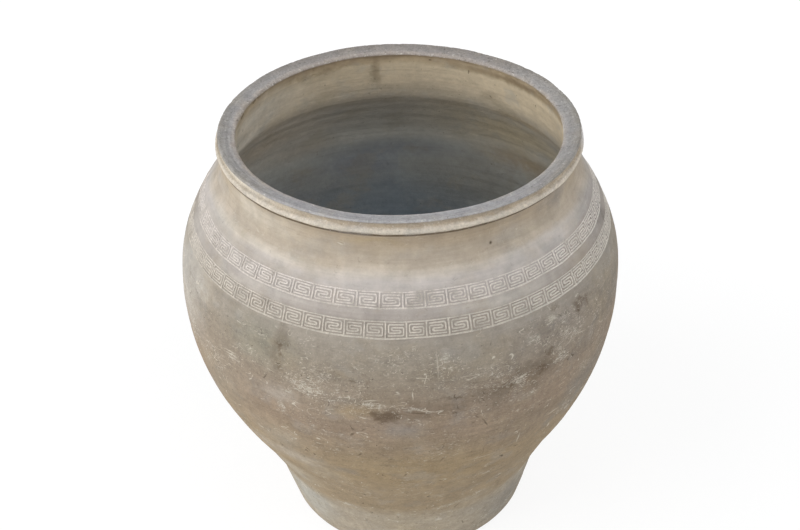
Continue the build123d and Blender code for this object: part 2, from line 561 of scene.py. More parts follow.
def turned_ring(section):
    """Turns a closed section about the jar's axis: one sector, doubled until it is whole."""
    bm = bmesh.new()
    verts = [bm.verts.new((radius, 0.0, height)) for radius, height in section]
    edges = [bm.edges.new(pair) for pair in zip(verts, verts[1:] + verts[:1])]
    turn = 2 * math.pi / RING_SECTORS
    bmesh.ops.spin(
        bm, geom=verts + edges, cent=(0, 0, 0), axis=(0, 0, 1), angle=turn,
        steps=SECTOR_STEPS, use_merge=False, use_duplicate=False)
    sectors = 1
    while sectors < RING_SECTORS:
        copied = bmesh.ops.duplicate(bm, geom=bm.verts[:] + bm.edges[:] + bm.faces[:])["geom"]
        copied = [item for item in copied if isinstance(item, bmesh.types.BMVert)]
        turned = Matrix.Rotation(turn * sectors, 3, "Z")
        bmesh.ops.rotate(bm, verts=copied, cent=(0, 0, 0), matrix=turned)
        sectors *= 2
    bmesh.ops.remove_doubles(bm, verts=bm.verts, dist=MERGE_REACH)
    bmesh.ops.recalc_face_normals(bm, faces=bm.faces)
    return bm


SHARP_TURN = math.radians(48)


def finish_mesh(bm, name, materials):
    """Smooth-shaded object at the origin, with corners kept crisp."""
    mesh = bpy.data.meshes.new(name)
    bm.to_mesh(mesh)
    bm.free()
    mesh.polygons.foreach_set("use_smooth", np.ones(len(mesh.polygons), dtype=bool))
    mesh.set_sharp_from_angle(angle=SHARP_TURN)
    for material in materials:
        mesh.materials.append(material)
    piece = bpy.data.objects.new(name, mesh)
    bpy.context.scene.collection.objects.link(piece)
    return piece


def colour_inside(mesh, rim):
    """Gives the faces of the inside the second material."""
    centre = mesh_values(mesh.polygons, "center")
    radius = np.hypot(centre[:, 0], centre[:, 1])
    height = centre[:, 2]
    if rim:
        inner = (radius < mouth_radius + lip_paint_width) & (height < lip_top - lip_paint_depth)
    else:
        upward = mesh_values(mesh.polygons, "normal")[:, 2]
        inner = (radius < middle_radius(height)) & (upward > UNDERSIDE_NORMAL)
    mesh.polygons.foreach_set("material_index", inner.astype(np.int32))


def ring_piece(name, node, section, materials, rim=False):
    """A weathered ring that stands for one node of the frame."""
    piece = finish_mesh(turned_ring(section), name, materials)
    colour_inside(piece.data, rim)
    weather_ring(piece.data, rim)
    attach(piece, "root")
    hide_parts(node)
    return piece


# Fret: an S of nine strokes in a cell of seven by six steps, with single upright dividers.
FRET_STROKES = [(5, 4), (0, 4), (0, 1), (4, 1), (4, 2), (1, 2), (1, 3), (5, 3), (5, 0), (0, 0)]
FRET_STEPS_WIDE = 7
FRET_STEPS_HIGH = 6
fret_corner = 0.36
fret_half_width = 0.00112
fret_slope = 0.00046
fret_rise = 0.00100
fret_sunk = 0.00035

# Border lines are bent at this many places to a cell.
BORDER_STEPS = 4

# Wear of the fret: share left on average, its least and most, and the radius where it is drawn.
fret_left = 0.86
fret_wear_limits = (0.10, 1.15)
fret_wear_radius = 0.26


def softened_strokes(points):
    """Cuts a little off every corner of a path of strokes."""
    path = [Vector(point) for point in points]
    result = [path[0]]
    for before, turn, after in zip(path, path[1:], path[2:]):
        result.append(turn + (before - turn).normalized() * fret_corner)
        result.append(turn + (after - turn).normalized() * fret_corner)
    return result + [path[-1]]


def stroke_ridge(bm, path, half_width):
    """Raised line along a path, in flat band coordinates; its top has a height of 1."""
    made = bmesh.ops.create_grid(bm, x_segments=len(path) - 1, y_segments=1, size=1.0)
    verts = sorted(made["verts"], key=lambda v: (round(v.co.x, 5), v.co.y))
    headings = [(end - start).normalized() for start, end in zip(path, path[1:])]
    for index, point in enumerate(path):
        before = headings[max(index - 1, 0)]
        after = headings[min(index, len(headings) - 1)]
        along = (before + after).normalized()
        side = Vector((-along.y, along.x)) * (half_width / along.dot(after))
        if index == 0:
            point = point - after * half_width
        if index == len(path) - 1:
            point = point + before * half_width
        for vert, sign in zip(verts[index * 2:index * 2 + 2], (-1, 1)):
            vert.co = (*(point + side * sign), 0.0)
    top_faces = list({face for vert in verts for face in vert.link_faces})
    sides = bmesh.ops.inset_region(
        bm, faces=top_faces, thickness=fret_slope, depth=0.0, use_even_offset=True, use_boundary=True)
    for vert in {vert for face in top_faces for vert in face.verts}:
        vert.co.z = 1.0
    bottom = {edge for face in sides["faces"] for edge in face.edges if edge.is_boundary}
    bmesh.ops.holes_fill(bm, edges=list(bottom), sides=0)


def fret_cell(cell_width, band_height, mirrored):
    """One cell of the fret with its divider, in flat band coordinates."""
    step_wide = cell_width / FRET_STEPS_WIDE
    step_high = band_height / FRET_STEPS_HIGH
    bm = bmesh.new()
    path = [Vector(((x + 1) * step_wide, (y + 1) * step_high)) for x, y in softened_strokes(FRET_STROKES)]
    if mirrored:
        path = [Vector((cell_width - point.x, point.y)) for point in reversed(path)]
    stroke_ridge(bm, path, fret_half_width)
    stroke_ridge(bm, [Vector((0.0, band_height * share)) for share in (0.0, 0.5, 1.0)], fret_half_width)
    bmesh.ops.recalc_face_normals(bm, faces=bm.faces)
    mesh = bpy.data.meshes.new("fret_cell")
    bm.to_mesh(mesh)
    bm.free()
    return mesh


def is_mirrored(band, number):
    """Cells alternate to either side of the run that is stamped alike."""
    beyond = max(band["first_alike"] - number, number - band["last_alike"], 0)
    return beyond % 2 == 1


def fret_wear(azimuth, height, rubbed):
    """Share of its height that a fret line has left after wear."""
    wear = fret_left + uneven(azimuth, fret_wear_radius, height, (FRET_PATCHES, FRET_SPECKS))
    for lost, turn, spread in rubbed:
        wear -= lost * soft_ridge(np.degrees(azimuth), turn, spread)
    return np.clip(wear, *fret_wear_limits)


def flat_fret(band, cell_width, band_height):
    """All cells and both border lines of one band, laid out flat."""
    count = band["cells"]
    cells = {mirrored: fret_cell(cell_width, band_height, mirrored) for mirrored in (False, True)}
    bm = bmesh.new()
    numbers = range(-count // 2, count - count // 2)
    for number in numbers:
        first = len(bm.verts)
        bm.from_mesh(cells[is_mirrored(band, number)])
        bm.verts.ensure_lookup_table()
        bmesh.ops.translate(bm, verts=bm.verts[first:], vec=(number * cell_width, 0, 0))
    for mesh in cells.values():
        bpy.data.meshes.remove(mesh)
    for level in (0.0, band_height):
        places = np.linspace(numbers[0], numbers[0] + count, count * BORDER_STEPS + 1) * cell_width
        stroke_ridge(bm, [Vector((place, level)) for place in places], fret_half_width)
    bmesh.ops.recalc_face_normals(bm, faces=bm.faces)
    return bm


def divider_azimuth(band, numbers):
    """Azimuth at a count of cells from the front, between the dividers whose turns are known."""
    count, turns = band["cells"], band["turns"]
    turns = [(n - count, t - 360) for n, t in turns] + turns + [(n + count, t + 360) for n, t in turns]
    return np.radians(np.interp(numbers, *zip(*turns)))


def fret_band(name, band, material):
    """The raised lines of one pressed band, wrapped onto the shoulder."""
    low, high = band["low"], band["high"]
    low_radius, high_radius = outside_radius(low), outside_radius(high)
    band_height = math.hypot(high - low, low_radius - high_radius)
    cell_width = math.pi * (low_radius + high_radius) / band["cells"]
    piece = finish_mesh(flat_fret(band, cell_width, band_height), name, [material])

    flat = mesh_values(piece.data.vertices, "co")
    azimuth = divider_azimuth(band, flat[:, 0] / cell_width)
    height = low + (high - low) * flat[:, 1] / band_height
    across = wall_noise(azimuth, low_radius, height, STAMP_ACROSS)
    up = wall_noise(azimuth, low_radius, height, STAMP_UP)
    azimuth = azimuth + across / low_radius
    height = height + up
    on_line = flat[:, 2] > 0.5
    lift = np.where(on_line, fret_rise * fret_wear(azimuth, height, band["rubbed"]), -fret_sunk)
    piece.data.vertices.foreach_set("co", place_outside(azimuth, height, lift).ravel())
    piece.data.update()
    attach(piece, "root")
    return piece


def tone(red, green, blue):
    """Colour as a material takes it, from the 0 to 255 values of a paint card."""
    linear = []
    for value in (red, green, blue):
        share = value / 255
        linear.append(share / 12.92 if share <= 0.04045 else ((share + 0.055) / 1.055) ** 2.4)
    return (*linear, 1.0)


# Flat coordinates for marks: azimuth times this radius across, height up.
WRAP_RADIUS = 0.27

# How far apart the patterns of two draws lie, for clouds and for strokes.
CLOUD_SHIFT = (7.1, 3.3, 5.7)
STROKE_SHIFT = (1.3, 0.7, 0.0)

# Random values lie about a half; nearly all of them between these two.
LOW_RANDOM, HIGH_RANDOM = 0.25, 0.75

# Matt finish of every clay: roughness in its smooth and its coarse places, and shine.
clay_roughness = (0.80, 0.96)
clay_shine = 0.22

# Gaps in a hairline: their size as a share of its own, and how soft its ends are.
gap_size = 0.6
gap_edge = 0.05


class NodeMaker:
    """Adds and joins the nodes of one material or of the sky."""

    def __init__(self, owner):
        owner.use_nodes = True
        self.tree = owner.node_tree
        self.tree.nodes.clear()

    def add(self, kind, **settings):
        node = self.tree.nodes.new(kind)
        for name, value in settings.items():
            setattr(node, name, value)
        return node

    def join(self, source, target):
        if isinstance(source, bpy.types.NodeSocket):
            self.tree.links.new(source, target)
        else:
            target.default_value = source

    def fill(self, node, **values):
        """Joins or sets inputs of a node by name, and gives its outputs."""
        for name, value in values.items():
            self.join(value, node.inputs[name])
        return node.outputs

    def parts(self, vector):
        return self.fill(self.add("ShaderNodeSeparateXYZ"), Vector=vector)

    def vector(self, x, y, z):
        return self.fill(self.add("ShaderNodeCombineXYZ"), X=x, Y=y, Z=z)[0]

    def maths(self, operation, first, second=0.0):
        node = self.add("ShaderNodeMath", operation=operation)
        self.join(first, node.inputs[0])
        self.join(second, node.inputs[1])
        return node.outputs[0]

    def times(self, first, second):
        return self.maths("MULTIPLY", first, second)

    def plus(self, first, second):
        return self.maths("ADD", first, second)

    def most(self, first, second):
        return self.maths("MAXIMUM", first, second)

    def ranged(self, value, low, high, to_low=0.0, to_high=1.0, soft=True):
        """Moves a value from one range to another and keeps it there."""
        node = self.add("ShaderNodeMapRange", interpolation_type="SMOOTHSTEP" if soft else "LINEAR")
        ends = {"From Min": low, "From Max": high, "To Min": to_low, "To Max": to_high}
        return self.fill(node, Value=value, **ends)[0]

    def direct_rays(self):
        """1 for rays that see the background directly, by mirror or through glass."""
        path = self.add("ShaderNodeLightPath").outputs
        seen = path["Is Camera Ray"]
        for name in ("Is Glossy Ray", "Is Transmission Ray"):
            seen = self.most(seen, path[name])
        return seen

    def mixed_surface(self, output, share, first, second):
        """Ends in a mix of two shaders, with the share of the second."""
        mix = self.add("ShaderNodeMixShader")
        for source, target in zip((share, first, second), mix.inputs):
            self.join(source, target)
        self.fill(self.add(output), Surface=mix.outputs[0])


class ClayNodes(NodeMaker):
    """Builds one clay material: coats of colour, then fine relief and a matt finish."""

    def __init__(self, name):
        self.material = bpy.data.materials.new(name)
        super().__init__(self.material)
        self.place = self.add("ShaderNodeTexCoord").outputs["Object"]
        self.x, self.y, self.height = self.parts(self.place)
        azimuth = self.maths("ARCTAN2", self.x, self.times(self.y, -1.0))
        self.wrap = self.vector(self.times(azimuth, WRAP_RADIUS), self.height, 0.0)
        self.colour = None

    def mapped(self, vector, scale, shift, turn=0.0, kind="POINT"):
        """Scales, turns and shifts coordinates, or, as TEXTURE, the pattern that is laid on them."""
        node = self.add("ShaderNodeMapping", vector_type=kind)
        turn = (0.0, 0.0, math.radians(turn))
        return self.fill(node, Vector=vector, Location=shift, Rotation=turn, Scale=scale)[0]

    def random(self, vector, detail, roughness):
        """Random values at coordinates, as one value and as a colour."""
        node = self.add("ShaderNodeTexNoise")
        return self.fill(node, Vector=vector, Scale=1.0, Detail=detail, Roughness=roughness)

    def clouds(self, size, flat=1.0, draw=0.0, detail=4.0, roughness=0.6, vector=None):
        """Random clouds: their width, how much wider than high they are, and which draw."""
        place = self.place if vector is None else vector
        shift = [draw * step for step in CLOUD_SHIFT]
        return self.random(self.mapped(place, (1 / size, 1 / size, flat / size), shift), detail, roughness)

    def noise(self, *settings):
        """Random clouds as one value about a half."""
        return self.clouds(*settings)["Fac"]

    def torn(self, vector, size, reach, draw):
        """Coordinates pushed about by clouds, so that a mark on them has ragged edges."""
        clouds = self.clouds(size, draw=draw)["Color"]
        across, up, _ = self.fill(self.add("ShaderNodeSeparateColor"), Color=clouds)
        push = self.add("ShaderNodeVectorMath", operation="MULTIPLY_ADD")
        self.join(self.vector(across, up, 0.0), push.inputs[0])
        push.inputs[1].default_value = (reach, reach, 0.0)
        push.inputs[2].default_value = (-reach / 2, -reach / 2, 0.0)
        total = self.add("ShaderNodeVectorMath", operation="ADD")
        self.join(vector, total.inputs[0])
        self.join(push.outputs[0], total.inputs[1])
        return total.outputs[0]

    def tones(self, value, stops):
        """Colour that runs through paint-card tones as a value rises."""
        node = self.add("ShaderNodeValToRGB")
        ramp = node.color_ramp
        while len(ramp.elements) < len(stops):
            ramp.elements.new(1.0)
        low, high = stops[0][0], stops[-1][0]
        for element, (place, card) in zip(ramp.elements, stops):
            element.position = (place - low) / (high - low)
            element.color = tone(*card)
        self.join(self.ranged(value, low, high, soft=False), node.inputs[0])
        return node.outputs[0]

    def mark(self, vector, azimuth, height, half_wide, half_high, tilt=0.0):
        """Soft spot on the wall: 1 in the middle, 0 from its edge outward."""
        middle = (math.radians(azimuth) * WRAP_RADIUS, height, 0.0)
        place = self.mapped(vector, (half_wide, half_high, 1.0), middle, tilt, "TEXTURE")
        spot = self.fill(self.add("ShaderNodeTexGradient", gradient_type="SPHERICAL"), Vector=place)
        return self.ranged(spot["Fac"], 0.0, 1.0)

    def marks(self, vector, places):
        """Largest of several soft spots, each scaled by its own strength."""
        total = 0.0
        for strength, *place in places:
            total = self.most(total, self.times(self.mark(vector, *place), strength))
        return total

    def strokes(self, length, width, turn, draw):
        """Random short strokes lying at an angle on the wall, as one value about a half."""
        shift = [draw * step for step in STROKE_SHIFT]
        place = self.mapped(self.wrap, (length, width, 1.0), shift, turn, "TEXTURE")
        return self.random(place, detail=1.5, roughness=0.5)["Fac"]

    def hairlines(self, size, flat, width, amount, draw):
        """Thin wandering scratches, broken into short lengths."""
        away = self.maths("ABSOLUTE", self.plus(self.noise(size, flat, draw, 2.0), -0.5))
        kept = self.ranged(self.noise(size * gap_size, 1.0, draw + 0.5, 2.0), amount, amount + gap_edge)
        return self.times(self.ranged(away, width, 0.0), kept)

    def calmed(self, value, share):
        """A random value about a half, kept to a share of its reach."""
        return self.plus(self.times(self.plus(value, -0.5), share), 0.5)

    def blend(self, factor, under, over):
        """Mix of two colours, with the share of the second."""
        node = self.add("ShaderNodeMix", data_type="RGBA")
        for source, target in zip((factor, under, over), (node.inputs[0], node.inputs[6], node.inputs[7])):
            self.join(source, target)
        return node.outputs[2]

    def coat(self, factor, card, share):
        """Lays a paint-card colour over the clay so far."""
        self.colour = self.blend(self.times(factor, share), self.colour, tone(*card))

    def lay_tints(self, vector, tints):
        """Lays soft spots of colour over the clay, each with its card, share and place."""
        for card, share, *place in tints:
            self.coat(self.mark(vector, *place), card, share)

    def lay_clouds(self, clouds):
        """Lays random clouds of colour over the clay, each with its card, share, range and noise."""
        for card, share, low, high, *noise in clouds:
            self.coat(self.ranged(self.noise(*noise), low, high), card, share)

    def shade(self, value, depth):
        """Darkens and lightens the clay so far by a random value about a half."""
        value = self.ranged(value, LOW_RANDOM, HIGH_RANDOM, 1 - depth, 1 + depth, soft=False)
        self.colour = self.fill(self.add("ShaderNodeHueSaturation"), Color=self.colour, Value=value)[0]

    def finish(self, relief, depth, grain):
        """Matt clay with a height map of fine relief; grain sets its roughness."""
        bump = self.fill(self.add("ShaderNodeBump"), Strength=1.0, Distance=depth, Height=relief)
        roughness = self.ranged(grain, LOW_RANDOM, HIGH_RANDOM, *clay_roughness, soft=False)
        looks = {"Base Color": self.colour, "Roughness": roughness, "Specular IOR Level": clay_shine}
        shader = self.fill(self.add("ShaderNodeBsdfPrincipled"), Normal=bump[0], **looks)
        self.fill(self.add("ShaderNodeOutputMaterial"), Surface=shader[0])
        return self.material


# Tones of the outside from the ground up, as height and paint-card colour.
OUTSIDE_TONES = [
    (0.0, (166, 155, 138)), (0.08, (166, 155, 138)), (0.11, (153, 136, 111)), (0.207, (153, 135, 109)),
    (0.27, (148, 131, 108)), (0.33, (144, 127, 109)), (0.42, (142, 132, 118)), (0.455, (151, 143, 132)),
    (0.478, (157, 149, 141)), (0.486, (166, 158, 151)), (0.513, (183, 176, 171)), (0.5205, (189, 180, 169)),
    (0.527, (181, 169, 154)), (0.533, (172, 160, 145)), (0.541, (168, 156, 140)), (0.556, (165, 150, 130)),
    (0.568, (160, 145, 125)),
]

# Broad tints: paint-card colour, share, azimuth, height, half width, half height.
OUTSIDE_TINTS = [
    ((136, 135, 120), 0.45, -36, 0.422, 0.08, 0.045), ((128, 119, 113), 0.45, 43, 0.422, 0.13, 0.048),
    ((150, 145, 136), 0.35, 17, 0.42, 0.055, 0.04), ((116, 100, 84), 0.6, 4, 0.362, 0.11, 0.024),
    ((110, 96, 83), 0.6, 30, 0.374, 0.095, 0.026), ((154, 133, 99), 0.5, 5, 0.24, 0.21, 0.075),
    ((164, 144, 112), 0.5, -12, 0.356, 0.05, 0.018), ((142, 133, 118), 0.5, -53, 0.33, 0.08, 0.085),
    ((160, 154, 142), 0.4, -34, 0.268, 0.055, 0.045), ((128, 115, 102), 0.45, 36, 0.29, 0.11, 0.055),
    ((178, 164, 140), 0.5, 3, 0.05, 0.12, 0.05), ((124, 123, 121), 0.65, 50, 0.05, 0.11, 0.065),
    ((176, 174, 166), 0.8, -48, 0.06, 0.11, 0.055), ((150, 149, 147), 0.4, 1, 0.33, 0.04, 0.022),
    # The pale grey tint at azimuth -76 is painted light, from the broad light on the wall's left side.
    ((202, 199, 194), 0.45, -76, 0.41, 0.11, 0.11), ((166, 161, 154), 0.65, -66, 0.515, 0.07, 0.02),
    ((198, 191, 178), 0.48, -50, 0.556, 0.15, 0.028), ((142, 135, 127), 0.75, 57, 0.558, 0.08, 0.018),
    ((140, 135, 131), 0.55, 70, 0.516, 0.08, 0.022), ((126, 121, 114), 0.55, 58, 0.31, 0.08, 0.07),
    ((172, 164, 149), 0.55, -42, 0.15, 0.075, 0.055), ((168, 150, 118), 0.55, -8, 0.56, 0.07, 0.01),
    ((206, 199, 188), 0.24, -44, 0.484, 0.12, 0.011), ((112, 108, 104), 0.55, 74, 0.492, 0.04, 0.018),
    ((124, 117, 109), 0.5, 68, 0.4, 0.08, 0.06), ((132, 117, 96), 0.45, 34, 0.185, 0.1, 0.055),
    ((108, 97, 84), 0.55, -30.4, 0.425, 0.012, 0.06), ((104, 88, 72), 0.55, -4.4, 0.352, 0.03, 0.016),
    ((104, 92, 80), 0.5, 34, 0.384, 0.06, 0.02), ((172, 163, 146), 0.35, -25, 0.208, 0.06, 0.04),
    ((168, 157, 140), 0.6, 27, 0.112, 0.06, 0.018), ((164, 152, 132), 0.45, -9, 0.107, 0.04, 0.012),
    ((128, 121, 112), 0.4, 52, 0.3, 0.05, 0.06), ((112, 104, 96), 0.4, 52, 0.374, 0.045, 0.03),
]

# Smaller tints with clearer edges, written the same way.
CLEAR_TINTS = [
    ((200, 192, 178), 0.4, -50, 0.5215, 0.16, 0.0075), ((166, 154, 136), 0.4, -40, 0.538, 0.15, 0.012),
    ((196, 190, 186), 0.55, 46, 0.5205, 0.15, 0.0075), ((160, 150, 132), 0.4, 42, 0.535, 0.13, 0.007),
    ((166, 156, 143), 0.6, -52, 0.51, 0.13, 0.01), ((164, 153, 137), 0.35, 2, 0.532, 0.12, 0.008),
    ((206, 200, 192), 0.45, 26, 0.4825, 0.11, 0.011), ((110, 104, 98), 0.26, 71, 0.482, 0.085, 0.04),
    # The dark tints at azimuths 88 and -91 on the shoulder are painted shade where the wall turns away at
    # its sides.
    ((196, 189, 178), 0.45, -58, 0.466, 0.1, 0.014), ((112, 106, 100), 0.3, 88, 0.499, 0.105, 0.04),
    ((130, 124, 116), 0.3, -91, 0.49, 0.088, 0.03), ((186, 178, 166), 0.38, -43, 0.226, 0.06, 0.03),
    ((188, 184, 178), 0.35, -61, 0.44, 0.05, 0.03), ((160, 158, 156), 0.4, -92, 0.522, 0.06, 0.02),
    ((176, 170, 162), 0.35, -76, 0.541, 0.06, 0.02), ((168, 160, 150), 0.3, 34, 0.451, 0.11, 0.009),
    ((192, 184, 174), 0.38, 26, 0.467, 0.09, 0.012), ((200, 194, 190), 0.28, 8, 0.497, 0.1, 0.012),
    ((192, 186, 178), 0.35, -31, 0.231, 0.05, 0.024), ((190, 180, 168), 0.4, -31, 0.359, 0.04, 0.02),
    ((110, 102, 92), 0.35, -14, 0.374, 0.05, 0.012), ((112, 104, 94), 0.3, 11, 0.417, 0.05, 0.02),
    ((118, 98, 76), 0.35, 29, 0.374, 0.05, 0.02),
]

# Stains, chalk and cuts: strength, azimuth, height, half width, half height, tilt.
DARK_STAINS = [
    (0.9, -4.4, 0.3535, 0.032, 0.017), (0.55, -30.4, 0.42, 0.008, 0.056), (0.95, 35.2, 0.38, 0.024, 0.013),
    (0.7, 25.0, 0.3765, 0.055, 0.011), (0.35, 11.0, 0.3765, 0.04, 0.008), (0.5, -38.0, 0.485, 0.022, 0.008),
    (1.0, 41.2, 0.4515, 0.014, 0.008), (0.8, 37.5, 0.399, 0.013, 0.012), (0.75, 50.0, 0.435, 0.024, 0.02),
    (0.25, -10.0, 0.405, 0.032, 0.01), (0.5, 24.5, 0.5335, 0.018, 0.0035, 14),
    (1.3, 70.0, 0.496, 0.03, 0.011, -8), (1.0, 78.0, 0.482, 0.02, 0.01),
]
CHALK = [
    (0.6, -23.0, 0.3785, 0.046, 0.018), (1.0, -28.0, 0.366, 0.014, 0.014),
    (1.0, -30.7, 0.343, 0.009, 0.022, 8), (1.0, -6.0, 0.3705, 0.03, 0.009, -6),
    (1.0, 2.4, 0.364, 0.034, 0.0075, -9), (0.9, 2.0, 0.3475, 0.03, 0.01, -12),
    (0.75, 30.0, 0.38, 0.065, 0.011, 4), (0.85, 41.0, 0.379, 0.02, 0.01), (1.0, 33.0, 0.349, 0.014, 0.009),
    (0.95, 33.0, 0.427, 0.024, 0.013), (0.95, 38.5, 0.44, 0.014, 0.015, 20),
    (0.75, 10.2, 0.435, 0.009, 0.016, -10), (0.8, -27.5, 0.426, 0.01, 0.012),
    (0.8, -46.0, 0.382, 0.026, 0.012), (1.4, -2.8, 0.092, 0.013, 0.007), (1.4, 14.0, 0.073, 0.011, 0.007),
    (0.7, -20.5, 0.552, 0.016, 0.0045, -8), (0.65, 28.6, 0.331, 0.014, 0.009),
    (1.0, 14.0, 0.106, 0.06, 0.008, 8), (0.9, -22.0, 0.1, 0.05, 0.006, -2),
    (1.0, 29.0, 0.121, 0.04, 0.012, 6), (0.3, -14.0, 0.372, 0.05, 0.011), (0.15, 6.0, 0.43, 0.12, 0.026),
    (0.45, 46.0, 0.41, 0.08, 0.04),
]
PALE_CUTS = [
    (1.0, 2.3, 0.386, 0.0011, 0.009, 4), (0.7, 21.2, 0.2515, 0.027, 0.0011),
    (0.9, 31.4, 0.2665, 0.0014, 0.0155), (0.7, 42.5, 0.2842, 0.015, 0.0022),
    (0.9, 43.2, 0.2535, 0.0034, 0.008, 12), (0.8, 49.0, 0.397, 0.018, 0.0012, -20),
    (0.8, -46.2, 0.3865, 0.015, 0.0012, 8), (0.8, -45.8, 0.3825, 0.016, 0.0012, 6),
    (0.7, -45.0, 0.3785, 0.013, 0.0011), (0.9, -7.8, 0.3775, 0.015, 0.0014, 10),
    # The cut at azimuth 5.2 and height 0.36 is a painted highlight along the scar.
    (0.9, 5.2, 0.36, 0.019, 0.0012, -14), (0.5, 8.2, 0.425, 0.0014, 0.032, 2),
    (0.8, -17.6, 0.5515, 0.007, 0.0012, -12),
]
DARK_CUTS = [
    (0.9, 20.1, 0.3247, 0.0135, 0.0015, -64), (0.8, 17.8, 0.3385, 0.006, 0.0014, -45),
    # The cut at azimuth 3.7 and height 0.358 is painted shadow along the scar's lower edge.
    (0.8, 3.7, 0.358, 0.022, 0.0013, -10), (0.9, -11.0, 0.28, 0.0065, 0.0018, 52),
    (0.9, -12.3, 0.3185, 0.0055, 0.0024, 50), (0.8, 9.9, 0.2667, 0.0065, 0.0016, 55),
    (0.8, 0.4, 0.233, 0.0065, 0.0022, 60), (0.8, -3.3, 0.2734, 0.005, 0.0014, 30),
    (0.6, 20.9, 0.268, 0.001, 0.012), (1.5, 27.3, 0.54, 0.0034, 0.0031),
    (0.7, -9.5, 0.329, 0.005, 0.0018, 40),
]

# Short pale chips: length, width, angle on the wall and draw.
CHIP_STROKES = [
    (0.0065, 0.0014, 6, 21), (0.0052, 0.0013, -36, 22), (0.0056, 0.0013, 72, 23), (0.01, 0.0015, 14, 24),
]

# Floors of the pressed bands: the band, paint-card colour and share.
BAND_FLOORS = [(LOWER_BAND, (160, 152, 143), 0.60), (UPPER_BAND, (166, 159, 154), 0.25)]

# Clouds: paint-card colour, share, random values where they begin and are full, width, flatness and draw.
OUTSIDE_CLOUDS = [
    ((160, 144, 118), 0.22, 0.5, 0.7, 0.06, 1.5, 3), ((148, 147, 144), 0.24, 0.52, 0.7, 0.052, 1.3, 4),
]

# What lies on the outside, with painted shade and highlight: paint-card colour and share.
dark_stain = ((92, 76, 60), 0.66)
rubbed_chalk = ((184, 177, 164), 0.24)
chalk_flakes = ((204, 196, 181), 0.44)
pale_chips = ((212, 204, 189), 0.58)
pale_dust = ((208, 200, 186), 0.30)
# Pale scratches, and a painted highlight along the scar.
pale_scratches_and_scar_highlight = ((214, 206, 190), 0.66)
# Dark dirt in cuts and pits, and a painted shadow along the scar.
cut_dirt_and_scar_shadow = ((80, 67, 54), 0.72)
# Painted shade under the rim's roll, with some dirt.
crevice_shade_and_dirt = ((92, 78, 60), 0.45)

# Levels between which the wavering of the wall's tones dies down, and its share at each.
CALM_LEVELS = (0.505, 0.522, 1.0, 0.30)

# The wall is fully weathered below the bands and less above, and the bands' floors fade to the sides.
WEATHERED_LEVELS = (0.462, 0.435, 0.35, 1.0)
WORN_SIDES = (0.10, 0.235, 1.0, 0.42)

# Chips are fewer low on the wall and from under the bands up: levels, and the change of their density.
FEWER_CHIPS = [(0.300, 0.360, -0.055, 0.0), (0.405, 0.435, 0.0, -0.030)]

# Painted shade and dirt under the rim's roll: levels where it begins and is full, and how it thins out to
# the sides.
CREVICE_LEVELS = (0.5664, 0.5680)
CREVICE_SIDES = (0.05, 0.17, 1.0, 0.30)


